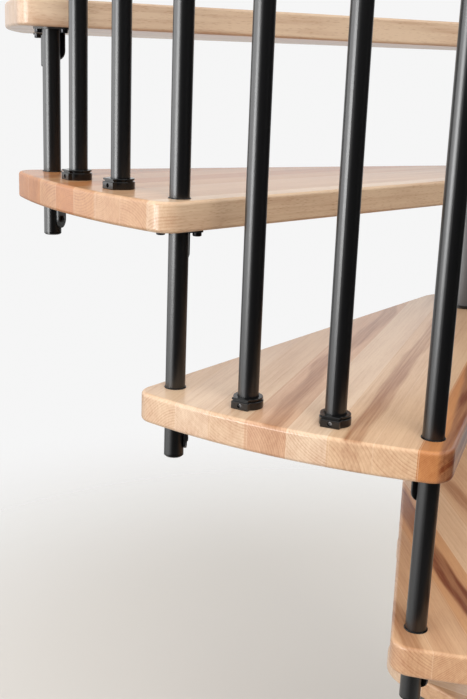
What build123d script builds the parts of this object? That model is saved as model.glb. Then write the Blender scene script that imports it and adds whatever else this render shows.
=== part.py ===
from build123d import *
import math
import os

# Driving dimensions, in millimetres and degrees
# The stair climbs clockwise seen from above, round a column that stands on the origin
TREAD_COUNT = 11
TREADS_PER_TURN = 14
RISE = 236.0
TREAD_THICKNESS = 37.0
TREAD_OUTER_RADIUS = 800.0
TREAD_CORNER_RADIUS = 26.0
TREAD_EDGE_ROUNDING = 4.5
HUB_RADIUS = 88.0
LANDING_SPACINGS = 7

# Balusters: tubes on one circle, three spacings to a tread
OUTER_MARGIN = 48.0
TUBE_DIAMETER = 25.0
TUBE_WALL = 2.0
SPACINGS_PER_TREAD = 3
SIDE_MARGIN = 28.0
HOLE_CLEARANCE = 0.8
TUBE_TAIL = 50.0
PLUG_HEIGHT = 4.0
PLUG_CHAMFER = 1.6

# Column: a core tube inside stacked spacer tubes, with a ring above and below each tread
CORE_DIAMETER = 60.0
CORE_WALL = 3.0
CORE_CLEARANCE = 0.5
SPACER_DIAMETER = 102.0
SPACER_WALL = 3.0
RING_LIP = 4.0
RING_HEIGHT = 5.0
NEWEL_HEIGHT = 960.0
CAP_HEIGHT = 26.0
CAP_RIM = 6.0

# Base plate, screwed to the floor
BASE_DIAMETER = 300.0
BASE_THICKNESS = 10.0
BASE_CHAMFER = 2.0
ANCHOR_MARGIN = 30.0
ANCHOR_COUNT = 4
ANCHOR_HOLE_DIAMETER = 14.0

# Foot under the first corner tube
FOOT_DIAMETER = 84.0
FOOT_THICKNESS = 6.0
FOOT_SOCKET_WALL = 3.0
FOOT_SOCKET_CLEARANCE = 0.3
FOOT_SOCKET_HEIGHT = 22.0
FOOT_SCREW_MARGIN = 11.0
FOOT_SCREW_COUNT = 3
FOOT_SCREW_HOLE_DIAMETER = 6.0

# Collars that hold the tubes between the corners
COLLAR_WALL = 5.0
COLLAR_BODY_HEIGHT = 9.5
COLLAR_GROOVE_HEIGHT = 1.5
COLLAR_GROOVE_DEPTH = 1.2
COLLAR_FLANGE_HEIGHT = 2.5
COLLAR_BOSS_WIDTH = 22.5
COLLAR_BOSS_ROUNDING = 2.0
COLLAR_BORE_CLEARANCE = 0.3

# Brackets that fasten each tread to its corner tubes
BRACKET_THICKNESS = 2.5
BRACKET_RIM = 4.5
BRACKET_LOBE_RADIUS = 7.5
BRACKET_SCREW_REACH = 22.0
BRACKET_TAB_WIDTH = 26.0
BRACKET_TAB_HEIGHT = 44.0
BRACKET_TUBE_GAP = 0.2
BRACKET_TURN = 40.0

# Handrail
RAIL_HEIGHT = 930.0
RAIL_DIAMETER = 42.0
RAIL_OVERHANG = 46.0
RAIL_BEND = 220.0
RAIL_CLEARANCE = 0.3
RAIL_CAP_HEIGHT = 14.0

# Angle that fastens the landing to the upper floor
ANGLE_LENGTH = 480.0
ANGLE_START = 150.0
ANGLE_LEG = 60.0
ANGLE_DROP = 120.0
ANGLE_THICKNESS = 6.0
ANGLE_INNER_ROUNDING = 5.0
ANGLE_HOLE_DIAMETER = 13.0
ANGLE_HOLE_END_MARGIN = 50.0
ANGLE_HOLE_EDGE_MARGIN = 30.0

# Worked out from the driving dimensions
tread_turn = 360.0 / TREADS_PER_TURN
spacing_turn = tread_turn / SPACINGS_PER_TREAD
landing_turn = spacing_turn * LANDING_SPACINGS
landing_level = (TREAD_COUNT + 1) * RISE
tube_radius = TUBE_DIAMETER / 2
tube_circle_radius = TREAD_OUTER_RADIUS - OUTER_MARGIN
rail_radius = RAIL_DIAMETER / 2
core_radius = CORE_DIAMETER / 2
spacer_radius = SPACER_DIAMETER / 2
ring_radius = spacer_radius + RING_LIP
collar_radius = tube_radius + COLLAR_WALL
column_top = landing_level + NEWEL_HEIGHT
side_skew = math.degrees(math.asin((HUB_RADIUS - SIDE_MARGIN) / tube_circle_radius))
landing_front = landing_turn - side_skew
first_front = landing_front + TREAD_COUNT * tread_turn


def front_angle(number):
    """Direction of the front corner hole of a tread, counted from 1."""
    return first_front - (number - 1) * tread_turn


def tread_top(number):
    return number * RISE


def on_circle(angle, height, radius=tube_circle_radius):
    turn = math.radians(angle)
    return Vector(radius * math.cos(turn), radius * math.sin(turn), height)


def level_plane(angle, height, radius=0.0):
    """Horizontal plane whose x axis points away from the column in one direction."""
    return Plane(on_circle(angle, height, radius), x_dir=on_circle(angle, 0, 1), z_dir=(0, 0, 1))


# The rail's height over the floor, and its slope, along the circle of tubes
rail_climb = RISE / math.radians(tread_turn) / tube_circle_radius


def rail_rise(travel):
    """Height of the rail's centre after a travel in degrees from the first corner tube."""
    past_bend = math.radians(travel - TREAD_COUNT * tread_turn) * tube_circle_radius
    level = landing_level + RAIL_HEIGHT
    if past_bend <= -RAIL_BEND / 2:
        return level + past_bend * rail_climb
    if past_bend >= RAIL_BEND / 2:
        return level
    return level - rail_climb * (RAIL_BEND / 2 - past_bend) ** 2 / (2 * RAIL_BEND)


def rail_slope(travel):
    past_bend = math.radians(travel - TREAD_COUNT * tread_turn) * tube_circle_radius
    share = min(max(0.5 - past_bend / RAIL_BEND, 0.0), 1.0)
    return rail_climb * share


def rail_direction(travel):
    """Way that the rail runs uphill over one tube."""
    turn = math.radians(first_front - travel)
    return Vector(math.sin(turn), -math.cos(turn), rail_slope(travel)).normalized()


os.makedirs("parts", exist_ok=True)


def write(builder, name):
    builder.part.label = name
    export_step(builder.part, "parts/" + name + ".step")


# Treads and landing: solid boards with a round hub end, straight sides and a curved outer edge
def make_board(plane, turn):
    """Board that spans a turn between its two corner holes, with its middle along x."""
    half = turn / 2
    side_normal = half + 90 - side_skew
    side_length = math.sqrt(TREAD_OUTER_RADIUS**2 - HUB_RADIUS**2)
    corner = math.degrees(math.atan2(side_length, HUB_RADIUS))
    front_hub = on_circle(side_normal, 0, HUB_RADIUS)
    front_corner = on_circle(side_normal - corner, 0, TREAD_OUTER_RADIUS)
    rear_hub = Vector(front_hub.X, -front_hub.Y)
    rear_corner = Vector(front_corner.X, -front_corner.Y)
    hole_places = [on_circle(half, 0), on_circle(-half, 0)]
    with BuildPart() as board:
        with BuildSketch(plane) as outline:
            with BuildLine():
                Line(rear_hub, rear_corner)
                ThreePointArc(rear_corner, (TREAD_OUTER_RADIUS, 0), front_corner)
                Line(front_corner, front_hub)
                ThreePointArc(front_hub, (-HUB_RADIUS, 0), rear_hub)
            make_face()
            fillet(outline.vertices().sort_by(SortBy.DISTANCE)[-2:], TREAD_CORNER_RADIUS)
        extrude(amount=TREAD_THICKNESS)
        rims = board.edges().group_by(Axis.Z)
        fillet(rims[0] + rims[-1], TREAD_EDGE_ROUNDING)
        with BuildSketch(plane):
            with Locations(*hole_places):
                Circle(tube_radius + HOLE_CLEARANCE)
            Circle(core_radius + CORE_CLEARANCE)
        extrude(amount=TREAD_THICKNESS, mode=Mode.SUBTRACT)
    return board


for number in range(1, TREAD_COUNT + 1):
    middle = front_angle(number) - tread_turn / 2
    tread = make_board(level_plane(middle, tread_top(number) - TREAD_THICKNESS), tread_turn)
    write(tread, f"tread_{number:02d}")

landing_middle = landing_front - landing_turn / 2
landing = make_board(level_plane(landing_middle, landing_level - TREAD_THICKNESS), landing_turn)
write(landing, "landing")

# Base plate with anchor holes
with BuildPart() as base_plate:
    with BuildSketch():
        Circle(BASE_DIAMETER / 2)
        with PolarLocations(BASE_DIAMETER / 2 - ANCHOR_MARGIN, ANCHOR_COUNT, start_angle=45):
            Circle(ANCHOR_HOLE_DIAMETER / 2, mode=Mode.SUBTRACT)
    extrude(amount=BASE_THICKNESS)
    top_rim = base_plate.edges().group_by(Axis.Z)[-1].sort_by(SortBy.RADIUS)[-1]
    chamfer(top_rim, BASE_CHAMFER)
write(base_plate, "base_plate")

# Core tube, welded on the base plate, that carries every tread
with BuildPart() as core_tube:
    with BuildSketch(Plane.XY.offset(BASE_THICKNESS)):
        Circle(core_radius)
        Circle(core_radius - CORE_WALL, mode=Mode.SUBTRACT)
    extrude(amount=column_top - BASE_THICKNESS)
write(core_tube, "core_tube")

# Rings and spacer tubes, stacked between the boards
ring_levels = [BASE_THICKNESS]
spacer_spans = []
for number in range(1, TREAD_COUNT + 2):
    underside = tread_top(number) - TREAD_THICKNESS
    ring_levels += [underside - RING_HEIGHT, tread_top(number)]
    lower_face = tread_top(number - 1) if number > 1 else BASE_THICKNESS
    spacer_spans.append((lower_face + RING_HEIGHT, underside - RING_HEIGHT))
spacer_spans.append((landing_level + RING_HEIGHT, column_top))

with BuildPart() as ring:
    with BuildSketch():
        Circle(ring_radius)
        Circle(core_radius + CORE_CLEARANCE, mode=Mode.SUBTRACT)
    extrude(amount=RING_HEIGHT)

with BuildPart() as column_rings:
    with Locations(*[(0, 0, level) for level in ring_levels]):
        add(ring.part)
write(column_rings, "column_rings")

with BuildPart() as column_spacers:
    for bottom, top in spacer_spans:
        with BuildSketch(Plane.XY.offset(bottom)):
            Circle(spacer_radius)
            Circle(spacer_radius - SPACER_WALL, mode=Mode.SUBTRACT)
        extrude(amount=top - bottom)
write(column_spacers, "column_spacers")

# Domed cap that closes the column
with BuildPart() as column_cap:
    with BuildSketch(Plane.XZ) as cap_profile:
        with BuildLine():
            rim_bottom = (ring_radius, column_top)
            rim_top = (ring_radius, column_top + CAP_RIM)
            crown = (0, column_top + CAP_HEIGHT)
            Line((0, column_top), rim_bottom)
            Line(rim_bottom, rim_top)
            TangentArc(crown, rim_top, tangent=(1, 0))
            Line(crown, (0, column_top))
        make_face()
    revolve(axis=Axis.Z)
write(column_cap, "column_cap")

# Foot under the first corner tube, which stands on the floor
with BuildPart() as start_foot:
    with BuildSketch(level_plane(first_front, 0, tube_circle_radius)):
        Circle(FOOT_DIAMETER / 2)
        with PolarLocations(FOOT_DIAMETER / 2 - FOOT_SCREW_MARGIN, FOOT_SCREW_COUNT):
            Circle(FOOT_SCREW_HOLE_DIAMETER / 2, mode=Mode.SUBTRACT)
    extrude(amount=FOOT_THICKNESS)
    with BuildSketch(level_plane(first_front, FOOT_THICKNESS, tube_circle_radius)):
        Circle(tube_radius + FOOT_SOCKET_CLEARANCE + FOOT_SOCKET_WALL)
        Circle(tube_radius + FOOT_SOCKET_CLEARANCE, mode=Mode.SUBTRACT)
    extrude(amount=FOOT_SOCKET_HEIGHT)
write(start_foot, "start_foot")


# Tubes: each one stands upright and is coped at its top to the underside of the rail
def make_tube(travel, bottom):
    """Tube at a travel in degrees from the first corner, from one level up to the rail."""
    centre = rail_rise(travel)
    angle = first_front - travel
    with BuildPart() as tube:
        with BuildSketch(level_plane(angle, bottom, tube_circle_radius)):
            Circle(tube_radius)
            Circle(tube_radius - TUBE_WALL, mode=Mode.SUBTRACT)
        extrude(amount=centre - bottom)
        with BuildSketch(Plane(on_circle(angle, centre), z_dir=rail_direction(travel))):
            Circle(rail_radius + RAIL_CLEARANCE)
        extrude(amount=RAIL_DIAMETER, both=True, mode=Mode.SUBTRACT)
    return tube.part


plug_levels = []
collar_places = []
for number in range(1, TREAD_COUNT + 1):
    corner_travel = (number - 1) * tread_turn
    tail = tread_top(number - 1) - TREAD_THICKNESS - TUBE_TAIL
    with BuildPart() as balusters:
        add(make_tube(corner_travel, tail if number > 1 else FOOT_THICKNESS))
        for step in range(1, SPACINGS_PER_TREAD):
            travel = corner_travel + step * spacing_turn
            add(make_tube(travel, tread_top(number)))
            collar_places.append((travel, tread_top(number)))
    if number > 1:
        plug_levels.append((corner_travel, tail))
    write(balusters, f"balusters_{number:02d}")

# The landing's front corner tube also holds the last tread, and its rear one ends the row
landing_travel = TREAD_COUNT * tread_turn
landing_tails = {
    0: tread_top(TREAD_COUNT) - TREAD_THICKNESS - TUBE_TAIL,
    LANDING_SPACINGS: landing_level - TREAD_THICKNESS - TUBE_TAIL,
}
with BuildPart() as landing_balusters:
    for step in range(LANDING_SPACINGS + 1):
        travel = landing_travel + step * spacing_turn
        if step in landing_tails:
            add(make_tube(travel, landing_tails[step]))
            plug_levels.append((travel, landing_tails[step]))
        else:
            add(make_tube(travel, landing_level))
            collar_places.append((travel, landing_level))
write(landing_balusters, "landing_balusters")

# Plugs that close the lower ends of the corner tubes
with BuildPart() as plug:
    with BuildSketch():
        Circle(tube_radius)
    extrude(amount=-PLUG_HEIGHT)
    chamfer(plug.edges().group_by(Axis.Z)[0], PLUG_CHAMFER)

with BuildPart() as tube_plugs:
    with Locations(*[on_circle(first_front - travel, level) for travel, level in plug_levels]):
        add(plug.part)
write(tube_plugs, "tube_plugs")


# Collars: a ring with a flat boss that faces away from the column, grooved under its top flange
collar_steps = [
    (COLLAR_BODY_HEIGHT, 0.0),
    (COLLAR_GROOVE_HEIGHT, COLLAR_GROOVE_DEPTH),
    (COLLAR_FLANGE_HEIGHT, 0.0),
]
with BuildPart() as collar:
    level = 0.0
    for height, inset in collar_steps:
        with BuildSketch(Plane.XY.offset(level)) as collar_step:
            radius = collar_radius - inset
            width = COLLAR_BOSS_WIDTH - 2 * inset
            Rectangle(radius, width, align=(Align.MIN, Align.CENTER))
            fillet(collar_step.vertices().sort_by(Axis.X)[-2:], COLLAR_BOSS_ROUNDING)
            Circle(radius)
            Circle(tube_radius + COLLAR_BORE_CLEARANCE, mode=Mode.SUBTRACT)
        extrude(amount=height)
        level += height

with BuildPart() as baluster_collars:
    places = [
        level_plane(first_front - travel, level, tube_circle_radius).location
        for travel, level in collar_places
    ]
    with Locations(*places):
        add(collar.part)
write(baluster_collars, "baluster_collars")

# Brackets: a flange round the tube, screwed under the board, with a tab bent down beside the tube
with BuildPart() as bracket:
    tab_face = tube_radius + BRACKET_TUBE_GAP
    flange_radius = tab_face + BRACKET_RIM
    fold = tab_face + BRACKET_THICKNESS
    with BuildSketch():
        Circle(flange_radius)
        with Locations((0, BRACKET_SCREW_REACH), (0, -BRACKET_SCREW_REACH)):
            Circle(BRACKET_LOBE_RADIUS)
        Rectangle(fold, BRACKET_TAB_WIDTH, align=(Align.MIN, Align.CENTER))
        make_hull()
        with Locations((fold, 0)):
            beyond_fold = (Align.MIN, Align.CENTER)
            Rectangle(flange_radius, 2 * flange_radius, align=beyond_fold, mode=Mode.SUBTRACT)
        Circle(tab_face, mode=Mode.SUBTRACT)
    extrude(amount=-BRACKET_THICKNESS)
    with BuildSketch(Plane.YZ.offset(tab_face)):
        straight = BRACKET_TAB_HEIGHT - BRACKET_TAB_WIDTH / 2
        Rectangle(BRACKET_TAB_WIDTH, straight, align=(Align.CENTER, Align.MAX))
        with Locations((0, -straight)):
            Circle(BRACKET_TAB_WIDTH / 2)
    extrude(amount=BRACKET_THICKNESS)


def bracket_locations(front):
    """Places under every board's front or rear corner hole, turned towards the board's middle."""
    places = []
    for number in range(1, TREAD_COUNT + 2):
        turn = tread_turn if number <= TREAD_COUNT else landing_turn
        angle = front_angle(number) if front else front_angle(number) - turn
        towards = angle + 180 + (BRACKET_TURN if front else -BRACKET_TURN)
        underside = tread_top(number) - TREAD_THICKNESS
        corner = on_circle(angle, underside)
        places.append(Plane(corner, x_dir=on_circle(towards, 0, 1), z_dir=(0, 0, 1)).location)
    return places


for front, name in ((True, "front_brackets"), (False, "rear_brackets")):
    with BuildPart() as brackets:
        with Locations(*bracket_locations(front)):
            add(bracket.part)
    write(brackets, name)

# Handrail: a round rail that climbs with the treads and runs level over the landing
overhang_turn = math.degrees(RAIL_OVERHANG / tube_circle_radius)
bend_turn = math.degrees(RAIL_BEND / tube_circle_radius)
bend_start = landing_travel - bend_turn / 2
bend_end = landing_travel + bend_turn / 2
rail_end = landing_travel + landing_turn + overhang_turn


def rail_point(travel):
    return on_circle(first_front - travel, rail_rise(travel))


with BuildPart() as handrail:
    climb_height = rail_rise(bend_start) - rail_rise(-overhang_turn)
    with BuildLine() as climb:
        start = (0, 0, rail_rise(-overhang_turn))
        pitch = RISE * TREADS_PER_TURN
        coil = Helix(
            pitch, climb_height, tube_circle_radius, start, lefthand=True, mode=Mode.PRIVATE
        )
        add(coil.rotate(Axis.Z, first_front + overhang_turn))
    with BuildLine() as bend:
        shares = (0, 0.25, 0.5, 0.75, 1)
        bend_points = [rail_point(bend_start + share * bend_turn) for share in shares]
        ways = [rail_direction(bend_start), rail_direction(bend_end)]
        Spline(*bend_points, tangents=ways)
    with BuildLine() as level_run:
        level_middle = rail_point((bend_end + rail_end) / 2)
        ThreePointArc(rail_point(bend_end), level_middle, rail_point(rail_end))
    with BuildSketch(Plane(rail_point(-overhang_turn), z_dir=rail_direction(-overhang_turn))):
        Circle(rail_radius)
    sweep(path=Wire(climb.edges() + bend.edges() + level_run.edges()))
write(handrail, "handrail")

# Domed caps on both ends of the rail
with BuildPart() as rail_cap:
    with BuildSketch(Plane.XZ):
        with BuildLine():
            crown = (0, RAIL_CAP_HEIGHT)
            Line((0, 0), (rail_radius, 0))
            TangentArc(crown, (rail_radius, 0), tangent=(1, 0))
            Line(crown, (0, 0))
        make_face()
    revolve(axis=Axis.Z)

with BuildPart() as rail_caps:
    lower_end = Plane(rail_point(-overhang_turn), z_dir=-rail_direction(-overhang_turn))
    upper_end = Plane(rail_point(rail_end), z_dir=rail_direction(rail_end))
    with Locations(lower_end.location, upper_end.location):
        add(rail_cap.part)
write(rail_caps, "rail_caps")

# Angle under the landing's rear side, whose upright leg is bolted to the upper floor
with BuildPart() as landing_angle:
    underside = landing_level - TREAD_THICKNESS
    outer = -HUB_RADIUS
    inner = (outer + ANGLE_THICKNESS, underside - ANGLE_THICKNESS)
    with BuildSketch(Plane.YZ.offset(ANGLE_START)) as angle_profile:
        with BuildLine():
            Polyline(
                (outer, underside),
                (outer + ANGLE_LEG, underside),
                (outer + ANGLE_LEG, underside - ANGLE_THICKNESS),
                inner,
                (outer + ANGLE_THICKNESS, underside - ANGLE_DROP),
                (outer, underside - ANGLE_DROP),
                close=True,
            )
        make_face()
        inner_corner = angle_profile.vertices().sort_by_distance((*inner, 0))[0]
        fillet(inner_corner, ANGLE_INNER_ROUNDING)
    extrude(amount=ANGLE_LENGTH)
    with BuildSketch(Plane.XZ.offset(HUB_RADIUS)):
        with Locations((ANGLE_START + ANGLE_LENGTH / 2, underside - ANGLE_DROP / 2)):
            length_spacing = ANGLE_LENGTH - 2 * ANGLE_HOLE_END_MARGIN
            drop_spacing = ANGLE_DROP - 2 * ANGLE_HOLE_EDGE_MARGIN
            with GridLocations(length_spacing, drop_spacing, 2, 2):
                Circle(ANGLE_HOLE_DIAMETER / 2)
    extrude(amount=-ANGLE_THICKNESS, mode=Mode.SUBTRACT)
write(landing_angle, "landing_angle")
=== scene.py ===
import math
import random

import bmesh
import bpy
from mathutils import Matrix, Vector


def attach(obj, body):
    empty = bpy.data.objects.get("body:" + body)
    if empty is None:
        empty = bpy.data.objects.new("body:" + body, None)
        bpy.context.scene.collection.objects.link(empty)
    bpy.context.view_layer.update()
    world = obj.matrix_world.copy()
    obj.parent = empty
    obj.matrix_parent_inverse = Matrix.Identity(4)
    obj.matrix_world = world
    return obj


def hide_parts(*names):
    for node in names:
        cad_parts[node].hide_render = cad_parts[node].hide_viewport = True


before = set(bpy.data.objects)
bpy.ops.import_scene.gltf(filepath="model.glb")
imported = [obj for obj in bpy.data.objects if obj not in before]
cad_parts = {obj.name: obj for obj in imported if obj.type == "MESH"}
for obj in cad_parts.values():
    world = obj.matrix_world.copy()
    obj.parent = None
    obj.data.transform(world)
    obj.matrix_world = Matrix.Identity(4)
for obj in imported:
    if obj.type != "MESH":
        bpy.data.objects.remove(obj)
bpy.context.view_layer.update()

# Camera: it stands in front of the fourth tread a little above its top, looks down on it and
# leans slightly, as the photograph was taken.
CAMERA_PLACE = (-0.2309, -1.8473, 1.3286)
CAMERA_YAW = math.radians(5.776)
CAMERA_PITCH = math.radians(15.025)
CAMERA_ROLL = math.radians(2.191)
FOCAL_PIXELS = 1034.5
IMAGE_HEIGHT = 699
SENSOR = 36.0

camera_data = bpy.data.cameras.new("camera")
camera_data.sensor_width = SENSOR
camera_data.lens = FOCAL_PIXELS / IMAGE_HEIGHT * SENSOR
camera = bpy.data.objects.new("camera", camera_data)
bpy.context.scene.collection.objects.link(camera)
camera.matrix_world = (
    Matrix.Translation(CAMERA_PLACE)
    @ Matrix.Rotation(CAMERA_YAW, 4, "Z")
    @ Matrix.Rotation(math.pi / 2 - CAMERA_PITCH, 4, "X")
    @ Matrix.Rotation(CAMERA_ROLL, 4, "Z")
)
bpy.context.scene.camera = camera
bpy.context.scene.view_settings.view_transform = "Standard"


# Studio: a pale floor that fades into a pale backdrop, a wide soft light at the front left that
# reaches down to the floor, another one high at the front right, and weak light from above. In
# reflections the backdrop is dark towards the right, which keeps one side of black tubes black.
class Field:
    """A socket's value, whose arithmetic adds Math nodes to its finish."""

    def __init__(self, finish, socket):
        self.finish = finish
        self.socket = socket

    def maths(self, operation, *others):
        values = dict(enumerate((self, *others)))
        return self.finish.node("Math", {"operation": operation}, values)

    def ramp(self, start, end, kind="LINEAR", low=0.0):
        """Runs up to 1 while this value goes from its start to its end."""
        values = {"Value": self, "From Min": start, "From Max": end, "To Min": low}
        return self.finish.node("MapRange", {"interpolation_type": kind}, values)

    def __add__(self, other):
        return self.maths("ADD", other)

    def __sub__(self, other):
        return self.maths("SUBTRACT", other)

    def __rsub__(self, other):
        return self.finish.node("Math", {"operation": "SUBTRACT"}, {0: other, 1: self})

    def __mul__(self, other):
        return self.maths("MULTIPLY", other)

    def __truediv__(self, other):
        return self.maths("DIVIDE", other)

    def __pow__(self, other):
        return self.maths("POWER", other)

    def __abs__(self):
        return self.maths("ABSOLUTE")

    __radd__ = __add__
    __rmul__ = __mul__


class Finish:
    """A material, or the studio's world, whose nodes all come from one method."""

    def __init__(self, owner):
        owner.use_nodes = True
        self.owner = owner
        self.tree = owner.node_tree
        self.tree.nodes.clear()

    def node(self, kind, settings=None, values=None, output=0):
        """Makes one node with its settings and socket values, and gives its outputs."""
        made = self.tree.nodes.new("ShaderNode" + kind)
        for key, value in (settings or {}).items():
            if key == "stops":
                ramp = made.color_ramp.elements
                while len(ramp) < len(value):
                    ramp.new(1.0)
                for stop, (position, colour) in zip(ramp, value):
                    stop.position = position
                    stop.color = (*colour, 1.0)
            elif key == "interpolation":
                made.color_ramp.interpolation = value
            else:
                setattr(made, key, value)
        for key, value in (values or {}).items():
            if isinstance(value, Field):
                self.tree.links.new(value.socket, made.inputs[key])
            else:
                made.inputs[key].default_value = value
        if isinstance(output, tuple):
            return [Field(self, made.outputs[name]) for name in output]
        return Field(self, made.outputs[output])

    def pointing(self, direction, way):
        """How much a direction points one way, from -1 to 1."""
        operation = {"operation": "DOT_PRODUCT"}
        return self.node("VectorMath", operation, {0: direction, 1: way}, "Value")

    def length(self, vector):
        return self.node("VectorMath", {"operation": "LENGTH"}, {0: vector}, "Value")


def srgb(red, green, blue):
    """Linear colour of a colour written in 0 to 255."""
    return tuple(((c / 255 + 0.055) / 1.055) ** 2.4 for c in (red, green, blue))


FLOOR_RADIUS = 6.0
FLOOR_PALE = srgb(204, 200, 194)
FLOOR_ROUGHNESS = 0.6
FLOOR_FADE_START = 0.8
FLOOR_FADE_END = 2.1
BACKDROP_PALE = 0.92
WHITE = (1.0, 1.0, 1.0, 1.0)
# The world's own light, at and below eye level and what is added above, between two heights
LEVEL_LIGHT = 0.18
ADDED_ABOVE = 1.24
ABOVE_START = 0.1
ABOVE_END = 0.8
# What gloss and glass see: a pale side, a dark side, a bright patch, and less below eye level
MIRROR_PALE = 0.95
MIRROR_DARK = 0.02
DARK_DIRECTION = (0.87, -0.5, 0.0)
DARK_END = 0.35
PALE_START = -0.2
GLOW = 2.3
GLOW_DIRECTION = (-0.99, -0.14, 0.0)
GLOW_START = 0.72
GLOW_FULL = 0.97
LOWEST_HEIGHT = -0.4
LOWEST_SHARE = 0.3

floor_mesh = bmesh.new()
bmesh.ops.create_circle(floor_mesh, cap_ends=True, segments=96, radius=FLOOR_RADIUS)
floor_data = bpy.data.meshes.new("floor")
floor_mesh.to_mesh(floor_data)
floor_mesh.free()
floor = bpy.data.objects.new("floor", floor_data)
bpy.context.scene.collection.objects.link(floor)

floor_finish = Finish(bpy.data.materials.new("pale_floor"))
distance = floor_finish.length(floor_finish.node("TexCoord", output="Object"))
fade = distance.ramp(FLOOR_FADE_START, FLOOR_FADE_END, "SMOOTHSTEP")
paint = floor_finish.node(
    "BsdfPrincipled", None, {"Base Color": (*FLOOR_PALE, 1.0), "Roughness": FLOOR_ROUGHNESS}
)
clear = floor_finish.node("BsdfTransparent")
blend = floor_finish.node("MixShader", None, {0: fade, 1: paint, 2: clear})
floor_finish.node("OutputMaterial", None, {"Surface": blend}, ())
floor_data.materials.append(floor_finish.owner)

world = Finish(bpy.data.worlds.new("studio"))
bpy.context.scene.world = world.owner
direction = world.node("TexCoord", output="Generated")
height = world.node("SeparateXYZ", None, {0: direction}, "Z")
above = height.ramp(ABOVE_START, ABOVE_END, "SMOOTHSTEP")
pale_side = world.pointing(direction, DARK_DIRECTION).ramp(DARK_END, PALE_START, "SMOOTHSTEP")
glow = world.pointing(direction, GLOW_DIRECTION).ramp(GLOW_START, GLOW_FULL, "SMOOTHSTEP")
camera_ray, glossy_ray, clear_ray = world.node(
    "LightPath", output=("Is Camera Ray", "Is Glossy Ray", "Is Transmission Ray")
)
soft = LEVEL_LIGHT + above * ADDED_ABOVE
pale = pale_side.maths("MAXIMUM", above)
mirror = pale * (MIRROR_PALE - MIRROR_DARK) + glow * GLOW
mirror = MIRROR_DARK + mirror * height.ramp(LOWEST_HEIGHT, 0.0, low=LOWEST_SHARE)
strength = (
    soft + camera_ray * (BACKDROP_PALE - soft) + (glossy_ray + clear_ray) * (mirror - soft)
)
sky = world.node("Background", None, {"Color": WHITE, "Strength": strength})
world.node("OutputWorld", None, {"Surface": sky}, ())


def panel_light(name, place, target, width, height, power):
    """A rectangular soft light that shines from one place towards another."""
    data = bpy.data.lights.new(name, "AREA")
    data.shape = "RECTANGLE"
    data.size, data.size_y = width, height
    data.energy = power
    light = bpy.data.objects.new(name, data)
    bpy.context.scene.collection.objects.link(light)
    light.location = place
    light.rotation_euler = (Vector(target) - Vector(place)).to_track_quat("-Z", "Y").to_euler()
    return light


panel_light(
    "key", place=(-3.94, -3.83, 1.0), target=(-0.25, -0.45, 1.0),
    width=2.3, height=1.8, power=126.0,
)
fill = panel_light(
    "fill", place=(0.9, -3.9, 3.9), target=(-0.2, -0.6, 1.2),
    width=2.6, height=2.0, power=112.0,
)
fill.visible_glossy = False


# Treads and landing: boards 37 mm thick, glued from beech staves about 50 mm wide that run along
# the front side, with eased edges and a clear satin lacquer. They are stacked on the column.
TREAD_COUNT = 11
RISE = 0.236
THICKNESS = 0.037
TREAD_TURN = 360.0 / 14
TUBE_TURN = TREAD_TURN / 3
LANDING_TURN = TUBE_TURN * 7
HUB_RADIUS = 0.088
TUBE_CIRCLE = 0.752
TUBE_FROM_SIDE = 0.028
SIDE_SKEW = math.degrees(math.asin((HUB_RADIUS - TUBE_FROM_SIDE) / TUBE_CIRCLE))
FIRST_FRONT = LANDING_TURN - SIDE_SKEW + TREAD_COUNT * TREAD_TURN
# Up from a board's middle, where its easing goes over into an upright side, and out from the
# column, where the outer edge and the hub begin
EASING_TOP = 0.0178
EASING_FOOT = 0.0155
OUTER_EDGE = (0.765, 0.788)
HUB_EDGE = (0.1, 0.09)
STAVE_WIDTH = 0.0498
STAVE_COUNT = 20
# The closest and the widest year rings, how far a stave was cut from the pith, and how far the
# pith wanders
FINE_RINGS = 0.0016
COARSE_RINGS = 0.0042
PITH_ASIDE = 0.16
PITH_NEAREST = 0.03
PITH_FURTHER = 0.05
WANDER_ASIDE = 0.04
WANDER_UP = 0.02
# Where patterns begin and are full: heartwood and the glue line in widths of a stave from its
# middle, rays by their cells, and flames and the dark figure by their noise
HEART_EDGE = (0.3, 0.15)
GLUE_LINE = (0.485, 0.497)
RAY_EDGE = (0.34, 0.16)
FLAME_LEVELS = (0.47, 0.72)
FIGURE_LEVELS = (0.46, 0.6)
TONES = {
    "cream": srgb(228, 200, 170),
    "straw": srgb(224, 193, 160),
    "honey": srgb(219, 184, 148),
    "rose": srgb(213, 172, 138),
    "tan": srgb(210, 169, 131),
    "ginger": srgb(204, 154, 109),
    "amber": srgb(196, 134, 82),
}
HEARTWOOD = srgb(166, 116, 78)
LATEWOOD = srgb(176, 118, 80)
# Staves from the front side to the rear one on the boards that the photograph shows, with a star
# where a band of heartwood runs along, two where it is dark, and three where its end is dark too.
# Mostly these are the wood's own tones and heartwood. On boards 3 and 4, some darker tones and
# stars also paint in shade: on board 3 the shade that board 4 casts on its top, and on board 4
# the shade on its front side and front corner.
STAVE_ORDER = {
    # Board 3: its darker tones and stars are partly its own figure and partly painted shade from
    # board 4
    3: "tan tan rose tan tan* honey ginger** tan tan* tan",
    # Board 4: the amber first stave with three stars is a dark figure and also painted shade on
    # its side
    4: "amber*** honey honey* cream rose* straw cream straw straw",
    5: "straw tan tan ginger amber ginger amber* amber amber",
    6: "cream straw straw honey cream straw honey cream straw",
}
USUAL_TONES = ["cream", "straw", "honey", "rose", "tan"]
USUAL_HEARTS = ["", "", "", "*"]
FIRST_SEED = 70
# Width of the first stave, as it is on those boards, and its limits on the others
FIRST_JOINT = {3: 0.0048, 4: 0.0348, 5: 0.029}
FIRST_JOINT_LIMITS = (0.022, 0.042)


def front_angle(number):
    """Direction of the front corner tube of a board, counted from 1, in degrees."""
    return FIRST_FRONT - (number - 1) * TREAD_TURN


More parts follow.
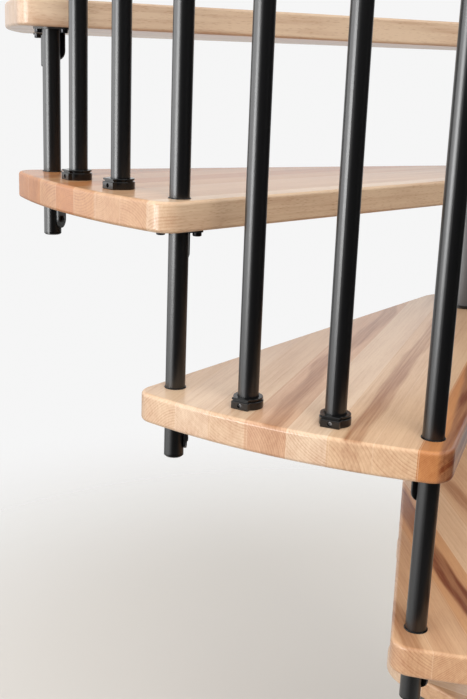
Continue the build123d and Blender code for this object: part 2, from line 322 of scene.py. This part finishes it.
def noise(finish, place, detail, scale=1.0):
    """Soft noise over a place, which is a vector or the three parts of one."""
    if isinstance(place, tuple):
        place = finish.node("CombineXYZ", None, dict(enumerate(place)))
    values = {"Vector": place, "Scale": scale, "Detail": detail}
    return finish.node("TexNoise", None, values, "Fac")


def scatter(finish, count, output):
    """A random value, or three as a colour, for each value of a count."""
    return finish.node("TexWhiteNoise", {"noise_dimensions": "1D"}, {"W": count}, output)


def per_stave(finish, position, stops):
    """Picks by position across the board from stops that hold until the next one."""
    settings = {"interpolation": "CONSTANT", "stops": stops}
    return finish.node("ValToRGB", settings, {0: position})


def overlay(finish, amount, under, over, blend_type="MIX"):
    """Lays a colour over another one by an amount."""
    settings = {"data_type": "RGBA", "blend_type": blend_type}
    return finish.node("Mix", settings, {0: amount, 6: under, 7: (*over, 1.0)}, 2)


def surfaced(finish, values):
    """Ends a material with its surface, and gives the material."""
    surface = finish.node("BsdfPrincipled", None, values)
    finish.node("OutputMaterial", None, {"Surface": surface}, ())
    return finish.owner


def beech(number):
    """Lacquered edge-glued beech whose staves lie along one board's front side."""
    choice = random.Random(FIRST_SEED + number)
    finish = Finish(bpy.data.materials.new(f"beech_{number:02d}"))
    order = STAVE_ORDER.get(number, "").split()
    while len(order) < STAVE_COUNT:
        heart = choice.choice(USUAL_HEARTS)
        order.append(choice.choice(USUAL_TONES) + heart)
    first_joint = FIRST_JOINT.get(number, choice.uniform(*FIRST_JOINT_LIMITS))

    # Position along the front side, across the board from it, and up from its middle
    turn = -math.radians(front_angle(number) - SIDE_SKEW)
    drop = -(number * RISE - THICKNESS / 2)
    place = finish.node(
        "Mapping",
        None,
        {
            "Vector": finish.node("TexCoord", output="Object"),
            "Rotation": (0, 0, turn),
            "Location": (0, 0, drop),
        },
    )
    along, side, up = finish.node("SeparateXYZ", None, {0: place}, ("X", "Y", "Z"))
    across = HUB_RADIUS - side
    count = (across - first_joint) / STAVE_WIDTH + 1
    stave = count.maths("FLOOR")
    within = count - stave

    # Every stave has a tone and a place in its trunk
    joints = [0.0] + [first_joint + STAVE_WIDTH * step for step in range(len(order) - 1)]
    span = first_joint + STAVE_WIDTH * len(order)
    tones = [(joint / span, TONES[name.strip("*")]) for joint, name in zip(joints, order)]
    hearts = [(joint / span, [name.count("*") / 3] * 3) for joint, name in zip(joints, order)]
    tone = per_stave(finish, across / span, tones)
    starred = per_stave(finish, across / span, hearts)
    trunk = scatter(finish, stave * 1.7 + number * 31.3, "Color")
    first, second, third = finish.node("SeparateColor", None, {0: trunk}, ("Red", "Green", "Blue"))
    shift = stave * 3.1 + number * 7.7

    # Year rings: arcs on the end grain and long lines on the faces, round a pith that lies under
    # or over the stave and wanders a little on its way. In this and the other patterns, along,
    # across, up and radius are multiplied by waves to the metre.
    wander = noise(finish, (along * 1.5, shift, across * 7), detail=2.0)
    from_pith_across = (within - 0.5) * STAVE_WIDTH + (first - 0.5) * PITH_ASIDE
    from_pith_across = from_pith_across + (wander - 0.5) * WANDER_ASIDE
    over_or_under = (third - 0.5).maths("SIGN")
    from_pith_up = up + over_or_under * (PITH_NEAREST + first * PITH_FURTHER)
    from_pith_up = from_pith_up + (wander - 0.5) * WANDER_UP
    pith = finish.node("CombineXYZ", None, {0: from_pith_across, 1: from_pith_up})
    radius = finish.length(pith)
    years = radius / (FINE_RINGS + second * (COARSE_RINGS - FINE_RINGS))
    good_year = scatter(finish, years.maths("FLOOR") + shift, "Value")
    late = years.maths("FRACT") ** 3.0 * (0.35 + 0.65 * good_year)

    # End grain shows on the outer edge and the hub, rays on the long sides
    upright = abs(up).ramp(EASING_TOP, EASING_FOOT)
    reach = (along * along + side * side) ** 0.5
    end_grain = upright * (reach.ramp(*OUTER_EDGE) + reach.ramp(*HUB_EDGE))
    long_side = upright - end_grain

    # Darker heartwood: a band that wanders along a starred stave, with streaks in it, and faint
    # flames elsewhere. On two stars it has a dark figure, and on three this reaches the end grain.
    # On the starred staves of boards 3 and 4, this darkening is partly painted shade.
    bend = noise(finish, (along * 3.2, shift), detail=2.0)
    off_centre = abs(within - 0.5 + (bend - 0.5) * 1.1)
    band = off_centre.ramp(*HEART_EDGE, "SMOOTHSTEP")
    streak = noise(finish, (along * 7, across * 330 + shift, up * 150), detail=4.0)
    flames = noise(finish, (along * 2.4, radius * 55 + shift, across * 16), detail=5.0)
    flames = flames.ramp(*FLAME_LEVELS, "SMOOTHSTEP")
    figure = noise(finish, (along * 6, radius * 130 + shift, up * 40), detail=3.0)
    figure = figure.ramp(*FIGURE_LEVELS)
    two_stars = starred.maths("GREATER_THAN", 0.5)
    three_stars = starred.maths("GREATER_THAN", 0.9)
    at_end = 1.0 - end_grain * (0.7 - 0.5 * three_stars)
    heart = (starred * 3.0).maths("MINIMUM", 2.0) * band * (0.1 + streak * 1.1)
    heart = (heart + flames * 0.2) * at_end
    deep = two_stars * band * (streak * 0.5 + figure * 0.65) * at_end

    # Soft clouds of tone, rays as short dark dashes along the grain, and fine fibres
    cloud = noise(finish, (along * 5, across * 40 + shift, up * 40), detail=3.0)
    way = finish.node("CombineXYZ", None, {0: along * 80, 1: across * 780, 2: up * 780})
    cells = finish.node("TexVoronoi", {"feature": "F1"}, {"Vector": way, "Scale": 1.0}, "Distance")
    ray = cells.ramp(*RAY_EDGE)
    fibre = noise(finish, (along * 50, across * 1100, up * 1100), detail=3.0)

    # Each pattern darkens the stave by its own share, and the glue joint is a pale hairline
    dark = (
        late * (0.12 + 0.34 * end_grain)
        + ray * (0.1 + 0.22 * long_side)
        + (fibre - 0.5) * 0.3
        + (streak - 0.5) * (0.5 + 0.5 * long_side)
        + (cloud - 0.5) * 0.5
        + end_grain * 0.1
        + deep
        + 0.07
    )
    colour = overlay(finish, heart, tone, HEARTWOOD)
    colour = overlay(finish, dark, colour, LATEWOOD, "MULTIPLY")
    joint = abs(within - 0.5).ramp(*GLUE_LINE)
    colour = overlay(finish, joint * 0.35, colour, TONES["cream"])
    relief = finish.node(
        "Bump", None, {"Height": fibre - late * 0.5, "Strength": 0.25, "Distance": 0.00005}
    )
    return surfaced(
        finish,
        {
            "Base Color": colour,
            "Roughness": 0.45 + fibre * 0.1,
            "Normal": relief,
            "Specular IOR Level": 0.3,
            "Coat Weight": 0.62,
            "Coat Roughness": 0.17,
        },
    )


def dress(material, *nodes):
    """Gives a material to CAD nodes."""
    for node in nodes:
        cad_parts[node].data.materials[0] = material


LANDING_NUMBER = TREAD_COUNT + 1
for number in range(1, LANDING_NUMBER):
    dress(beech(number), f"tread_{number:02d}")
dress(beech(LANDING_NUMBER), "landing")


# Tubes, foot, column, plates and brackets: steel tube and sheet with a satin powder coat, which
# has a fine orange peel. The tubes stand on the boards or pass through their corners, and the
# brackets hold the corner tubes from below. Inside the column, the core tube is only primed.
def shades(finish, amount, colour, *stops):
    """Shades of a colour, each given by the amount that it belongs to and a factor."""
    stops = [(position, [part * factor for part in colour]) for position, factor in stops]
    return finish.node("ValToRGB", {"stops": stops}, {0: amount})


def powder_coat(name, colour, roughness):
    """Satin powder coat on steel."""
    finish = Finish(bpy.data.materials.new(name))
    place = finish.node("TexCoord", output="Object")
    peel = noise(finish, place, detail=2.0, scale=700.0)
    grain = noise(finish, place, detail=1.0, scale=2400.0)
    relief = finish.node(
        "Bump", None, {"Height": peel + grain * 0.5, "Strength": 0.4, "Distance": 0.00013}
    )
    return surfaced(
        finish,
        {
            "Base Color": shades(finish, grain, colour, (0.3, 0.7), (0.75, 1.4)),
            "Roughness": roughness + (grain - 0.5) * 0.14,
            "Specular IOR Level": 0.8,
            "Normal": relief,
        },
    )


tubes = [f"balusters_{number:02d}" for number in range(1, LANDING_NUMBER)]
black_coat = powder_coat("black_powder_coat", (0.003, 0.003, 0.0033), 0.31)
dress(black_coat, *tubes, "landing_balusters", "start_foot")
grey_coat = powder_coat("grey_powder_coat", (0.075, 0.075, 0.078), 0.42)
dress(grey_coat, "column_spacers", "base_plate")
sheet_coat = powder_coat("sheet_powder_coat", (0.006, 0.006, 0.0064), 0.36)
dress(sheet_coat, "front_brackets", "rear_brackets", "landing_angle")
primer_coat = powder_coat("primer_coat", (0.16, 0.16, 0.165), 0.5)
dress(primer_coat, "core_tube")


# Rings, cap, plugs and rail: black plastic mouldings. The rings lie between the boards and the
# column's spacers, the cap closes the column, the plugs close the corner tubes from below, and
# the round rail sits on the tubes' tops.
def moulding(name, colour, roughness, flow_scale):
    """Moulded plastic, with faint flow marks."""
    finish = Finish(bpy.data.materials.new(name))
    place = finish.node("TexCoord", output="Object")
    flow = noise(finish, place, detail=3.0, scale=flow_scale)
    fine = noise(finish, place, detail=1.0, scale=1500.0)
    relief = finish.node(
        "Bump", None, {"Height": flow * 0.6 + fine * 0.4, "Strength": 0.2, "Distance": 0.0001}
    )
    return surfaced(
        finish,
        {
            "Base Color": shades(finish, flow, colour, (0.3, 0.8), (0.7, 1.25)),
            "Roughness": roughness + (flow - 0.5) * 0.12,
            "Normal": relief,
        },
    )


gloss_black = moulding("gloss_black_plastic", (0.005, 0.005, 0.005), 0.2, 160.0)
dress(gloss_black, "column_rings", "column_cap", "tube_plugs")
rail_black = moulding("rail_black_plastic", (0.011, 0.011, 0.0115), 0.36, 60.0)
dress(rail_black, "handrail", "rail_caps")


# Collars: glossy black mouldings that hold the feet of the tubes standing on a board. Each is
# turned round with a groove under its flange, and has a flat boss with a hole for its set screw.
MILLIMETRE = 0.001
SMOOTH_ANGLE = math.radians(34)
BORE = 12.8
COLLAR_RADIUS = 18.5
COLLAR_STEPS = 36
COLLAR_PROFILE = [
    (BORE, 0.4), (13.2, 0.0), (17.9, 0.0), (COLLAR_RADIUS, 0.6), (COLLAR_RADIUS, 8.9),
    (17.9, 9.5), (16.2, 9.6), (16.2, 11.0), (17.5, 11.1), (17.9, 11.5),
    (17.9, 13.0), (17.4, 13.5), (13.4, 13.5), (BORE, 12.9),
]
BOSS_DEPTH = 1.2
BOSS_HALF_TURN = math.radians(31)
BOSS_HALF_WIDTH = 7.0
BOSS_BOTTOM = 1.0
BOSS_TOP = 8.5
BOSS_RIM = 1.2
COLLAR_MIDDLE = 4.75
SET_HOLE_RADIUS = 3.0
SET_HOLE_DEPTH = 3.6


def lathe(profile, steps):
    """Spins a closed profile of radius and height, in millimetres, into a ring."""
    mesh = bmesh.new()
    points = [mesh.verts.new((radius, 0.0, height)) for radius, height in profile]
    lines = [mesh.edges.new(ends) for ends in zip(points, points[1:] + points[:1])]
    bmesh.ops.spin(
        mesh, geom=points + lines, axis=(0, 0, 1), cent=(0, 0, 0),
        steps=steps, angle=math.tau, use_merge=True,
    )
    bmesh.ops.remove_doubles(mesh, verts=mesh.verts, dist=1e-4)
    bmesh.ops.recalc_face_normals(mesh, faces=mesh.faces)
    return mesh


def add_piece(name, shapes, material, stands_for=()):
    """Makes one piece from copies of millimetre shapes, each with its list of places."""
    whole = bmesh.new()
    for shape, places in shapes:
        shape.normal_update()
        for face in shape.faces:
            face.smooth = True
        for edge in shape.edges:
            edge.smooth = edge.calc_face_angle(math.pi) < SMOOTH_ANGLE
        data = bpy.data.meshes.new(name + "_one")
        shape.to_mesh(data)
        shape.free()
        for place in places:
            copy = data.copy()
            copy.transform(place @ Matrix.Scale(MILLIMETRE, 4))
            whole.from_mesh(copy)
            bpy.data.meshes.remove(copy)
        bpy.data.meshes.remove(data)
    data = bpy.data.meshes.new(name)
    whole.to_mesh(data)
    whole.free()
    data.materials.append(material)
    piece = bpy.data.objects.new(name, data)
    bpy.context.scene.collection.objects.link(piece)
    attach(piece, "root")
    if stands_for:
        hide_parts(*stands_for)


def turned(angle, axis="Z"):
    """Turn by an angle in degrees round an axis."""
    return Matrix.Rotation(math.radians(angle), 4, axis)


def at_tube(angle, height, turn=0.0):
    """Place on the circle of tubes, with x turned from the outward direction."""
    on_circle = turned(angle) @ Matrix.Translation((TUBE_CIRCLE, 0, 0))
    return Matrix.Translation((0, 0, height)) @ on_circle @ turned(turn)


collar = lathe(COLLAR_PROFILE, COLLAR_STEPS)
for point in collar.verts:
    angle = math.atan2(point.co.y, point.co.x)
    radius = math.hypot(point.co.x, point.co.y)
    if radius > BORE + 1 and abs(angle) < BOSS_HALF_TURN:
        point.co.x = radius + BOSS_DEPTH
        point.co.y = point.co.x * math.tan(angle)
boss = [
    face for face in collar.faces
    if face.calc_center_median().x > COLLAR_RADIUS + 0.9 * BOSS_DEPTH
    and abs(face.calc_center_median().y) < BOSS_HALF_WIDTH
    and BOSS_BOTTOM < face.calc_center_median().z < BOSS_TOP
]
plate = bmesh.ops.dissolve_faces(collar, faces=boss, use_verts=False)["region"][0]
bmesh.ops.inset_region(collar, faces=[plate], thickness=BOSS_RIM)
rim = sorted(plate.verts, key=lambda point: math.atan2(point.co.z - COLLAR_MIDDLE, point.co.y))
for count, point in enumerate(rim):
    angle = -math.pi + math.tau * (count + 0.5) / len(rim)
    point.co.y = SET_HOLE_RADIUS * math.cos(angle)
    point.co.z = COLLAR_MIDDLE + SET_HOLE_RADIUS * math.sin(angle)
hole = bmesh.ops.extrude_discrete_faces(collar, faces=[plate])["faces"][0]
bmesh.ops.translate(collar, verts=hole.verts, vec=(-SET_HOLE_DEPTH, 0, 0))

standing = []
for number in range(1, LANDING_NUMBER + 1):
    tubes_on_top = 2 if number <= TREAD_COUNT else 6
    for step in range(1, tubes_on_top + 1):
        standing.append(at_tube(front_angle(number) - step * TUBE_TURN, number * RISE))
collar_black = moulding("collar_black_plastic", (0.004, 0.004, 0.004), 0.16, 220.0)
add_piece("collars", [(collar, standing)], collar_black, ("baluster_collars",))


# Set screws: short zinc plated screws, dulled, with a hexagon socket. Each sits at the bottom of
# the hole in its collar's boss, and clamps the collar to the tube.
def zinc_plate(name, colour, roughness):
    """Plated steel, faintly mottled."""
    finish = Finish(bpy.data.materials.new(name))
    place = finish.node("TexCoord", output="Object")
    mottle = noise(finish, place, detail=3.0, scale=900.0)
    return surfaced(
        finish,
        {
            "Base Color": shades(finish, mottle, colour, (0.3, 0.75), (0.7, 1.1)),
            "Metallic": 1.0,
            "Roughness": roughness + (mottle - 0.5) * 0.2,
        },
    )


def hexagon_reach(angle, half_width):
    """Distance from a hexagon's middle to its side, in the direction of an angle."""
    return half_width / math.cos(angle % math.radians(60) - math.radians(30))


def screw_head(radius, height, rounding, socket, depth, sides=12):
    """A screw head on z = 0 with a hexagon socket in its top."""
    mesh = bmesh.new()
    bmesh.ops.create_circle(mesh, cap_ends=True, segments=sides, radius=radius)
    extruded = bmesh.ops.extrude_face_region(mesh, geom=mesh.faces[:])["geom"]
    top_points = [item for item in extruded if isinstance(item, bmesh.types.BMVert)]
    bmesh.ops.translate(mesh, verts=top_points, vec=(0, 0, height))
    top = max(mesh.faces, key=lambda face: face.calc_center_median().z)
    bmesh.ops.bevel(
        mesh, geom=list(top.edges), offset=rounding, offset_type="OFFSET",
        segments=2, profile=0.5, affect="EDGES", material=-1,
    )
    top = max(
        mesh.faces, key=lambda face: (round(face.calc_center_median().z, 4), face.calc_area())
    )
    bmesh.ops.inset_region(mesh, faces=[top], thickness=(radius - rounding) * 0.4)
    for point in top.verts:
        angle = math.atan2(point.co.y, point.co.x)
        reach = hexagon_reach(angle, socket * math.cos(math.radians(30)))
        point.co.x, point.co.y = reach * math.cos(angle), reach * math.sin(angle)
    floor_of_socket = bmesh.ops.extrude_discrete_faces(mesh, faces=[top])["faces"][0]
    bmesh.ops.translate(mesh, verts=floor_of_socket.verts, vec=(0, 0, -depth))
    bmesh.ops.recalc_face_normals(mesh, faces=mesh.faces)
    return mesh


def facing_out(reach, height):
    """Turns a head from +z to +x, at a reach and height in millimetres."""
    return Matrix.Translation(Vector((reach, 0, height)) * MILLIMETRE) @ turned(90, "Y")


HOLE_BOTTOM = COLLAR_RADIUS + BOSS_DEPTH - SET_HOLE_DEPTH
dull_zinc = zinc_plate("dull_zinc", (0.17, 0.17, 0.175), 0.36)
set_screw = screw_head(radius=2.7, height=1.6, rounding=0.3, socket=1.5, depth=1.1)
set_places = [place @ facing_out(HOLE_BOTTOM, COLLAR_MIDDLE) for place in standing]
add_piece("set_screws", [(set_screw, set_places)], dull_zinc)


# Bushes: thin black plastic lips, two to a board, pushed into the holes where the corner tubes
# come up through it.
BUSH_PROFILE = [(12.65, 0.0), (14.0, 0.0), (14.0, 0.7), (13.5, 1.3), (12.9, 1.3), (12.65, 1.0)]
BUSH_STEPS = 32
FRONT_BRACKET_TURN = 220.0
REAR_BRACKET_TURN = 140.0

corners = []
for number in range(1, LANDING_NUMBER + 1):
    spread = TREAD_TURN if number <= TREAD_COUNT else LANDING_TURN
    corners.append((number, front_angle(number), FRONT_BRACKET_TURN))
    corners.append((number, front_angle(number) - spread, REAR_BRACKET_TURN))
bush_places = [at_tube(angle, number * RISE) for number, angle, _ in corners]
bush = lathe(BUSH_PROFILE, BUSH_STEPS)
add_piece("tube_bushes", [(bush, bush_places)], collar_black)


# Bracket screws: black zinc pan heads, two up through each bracket's lobes into the board and one
# through its tab into the tube.
FLANGE_THICKNESS = 2.5
LOBE_REACH = 22.0
TAB_FACE = 15.2
TAB_SCREW_DROP = 31.0

flange_places, tab_places = [], []
for number, angle, turn in corners:
    bracket = at_tube(angle, number * RISE - THICKNESS, turn)
    for side in (-1, 1):
        spot = Vector((0, side * LOBE_REACH, -FLANGE_THICKNESS)) * MILLIMETRE
        flange_places.append(bracket @ Matrix.Translation(spot) @ turned(180, "X"))
    tab_places.append(bracket @ facing_out(TAB_FACE, -TAB_SCREW_DROP))
black_zinc = zinc_plate("black_zinc", (0.05, 0.05, 0.053), 0.3)
flange_screw = screw_head(radius=5.6, height=5.2, rounding=1.2, socket=2.3, depth=1.8)
tab_screw = screw_head(radius=4.8, height=2.6, rounding=1.0, socket=2.0, depth=1.4)
heads = [(flange_screw, flange_places), (tab_screw, tab_places)]
add_piece("bracket_screws", heads, black_zinc)


# Floor anchors: four threaded zinc plated ends with washers and hexagon nuts hold the base plate
# down, and three pan head screws the foot of the first corner tube.
PLATE_TOP = 0.010
ANCHOR_CIRCLE = 0.120
ANCHOR_COUNT = 4
FIRST_ANCHOR = 45
FOOT_TOP = 0.006
FOOT_CIRCLE = 0.031
FOOT_SCREW_COUNT = 3
WASHER_RADIUS = 12.0
WASHER_THICKNESS = 2.5
WASHER_EDGE = 0.4
WASHER_STEPS = 32
NUT_PROFILE = [(6.0, 0.0), (10.9, 0.0), (10.9, 9.0), (9.6, 10.0), (6.6, 10.0), (6.0, 9.4)]
NUT_HALF_WIDTH = 9.5
NUT_THREAD_LIMIT = 8.0
NUT_STEPS = 24


def washer(bore):
    """A flat washer with its top edges broken."""
    edge_foot = WASHER_THICKNESS - WASHER_EDGE
    return lathe([
        (bore, 0.0), (WASHER_RADIUS, 0.0),
        (WASHER_RADIUS, edge_foot), (WASHER_RADIUS - WASHER_EDGE, WASHER_THICKNESS),
        (bore + WASHER_EDGE, WASHER_THICKNESS), (bore, edge_foot),
    ], WASHER_STEPS)


nut = lathe(NUT_PROFILE, NUT_STEPS)
for point in nut.verts:
    angle = math.atan2(point.co.y, point.co.x)
    radius = math.hypot(point.co.x, point.co.y)
    if radius > NUT_THREAD_LIMIT:
        reach = min(radius, hexagon_reach(angle, NUT_HALF_WIDTH))
        point.co.x, point.co.y = reach * math.cos(angle), reach * math.sin(angle)
thread_end = screw_head(radius=5.9, height=16.5, rounding=1.0, socket=1.6, depth=0.6, sides=24)
on_plate = Matrix.Translation((ANCHOR_CIRCLE, 0, PLATE_TOP))
anchors = [
    turned(FIRST_ANCHOR + 360 / ANCHOR_COUNT * step) @ on_plate for step in range(ANCHOR_COUNT)
]
on_washer = Matrix.Translation((0, 0, WASHER_THICKNESS * MILLIMETRE))
nut_places = [place @ on_washer for place in anchors]
bright_zinc = zinc_plate("bright_zinc", (0.42, 0.42, 0.43), 0.32)
shapes = [(washer(6.6), anchors), (nut, nut_places), (thread_end, anchors)]
add_piece("anchor_bolts", shapes, bright_zinc)

on_foot = Matrix.Translation((FOOT_CIRCLE, 0, 0))
foot_places = [
    at_tube(front_angle(1), FOOT_TOP, 360 / FOOT_SCREW_COUNT * step) @ on_foot
    for step in range(FOOT_SCREW_COUNT)
]
foot_screw = screw_head(radius=5.2, height=3.0, rounding=1.2, socket=2.2, depth=1.6)
add_piece("foot_screws", [(foot_screw, foot_places)], black_zinc)


# Landing bolts: four hexagon heads with washers hold the drop of the landing angle to the upper
# floor, and four pan head screws go up through its other leg into the landing.
ANGLE_FACE = -0.082
ANGLE_MIDDLE = 0.39
BOLT_MIDDLE_HEIGHT = 2.735
BOLT_ASIDE = 0.19
BOLT_LIFT = 0.03
LEG_THICKNESS = 0.006
LEG_SCREW_LINE = -0.048
LEG_SCREW_SPACING = 0.12
LEG_SCREW_COUNT = 4

bolt_places = []
for side in (-BOLT_ASIDE, BOLT_ASIDE):
    for lift in (-BOLT_LIFT, BOLT_LIFT):
        spot = (ANGLE_MIDDLE + side, ANGLE_FACE, BOLT_MIDDLE_HEIGHT + lift)
        bolt_places.append(Matrix.Translation(spot) @ turned(-90, "X"))
head_places = [place @ on_washer for place in bolt_places]
bolt_head = screw_head(radius=10.9, height=7.5, rounding=0.9, socket=4.0, depth=0.4, sides=6)
shapes = [(washer(6.4), bolt_places), (bolt_head, head_places)]
add_piece("landing_bolts", shapes, bright_zinc)

leg_underside = LANDING_NUMBER * RISE - THICKNESS - LEG_THICKNESS
leg_places = []
for step in range(LEG_SCREW_COUNT):
    aside = (step - (LEG_SCREW_COUNT - 1) / 2) * LEG_SCREW_SPACING
    spot = (ANGLE_MIDDLE + aside, LEG_SCREW_LINE, leg_underside)
    leg_places.append(Matrix.Translation(spot) @ turned(180, "X"))
leg_screw = screw_head(radius=5.4, height=3.6, rounding=1.2, socket=2.3, depth=1.8)
add_piece("landing_screws", [(leg_screw, leg_places)], black_zinc)
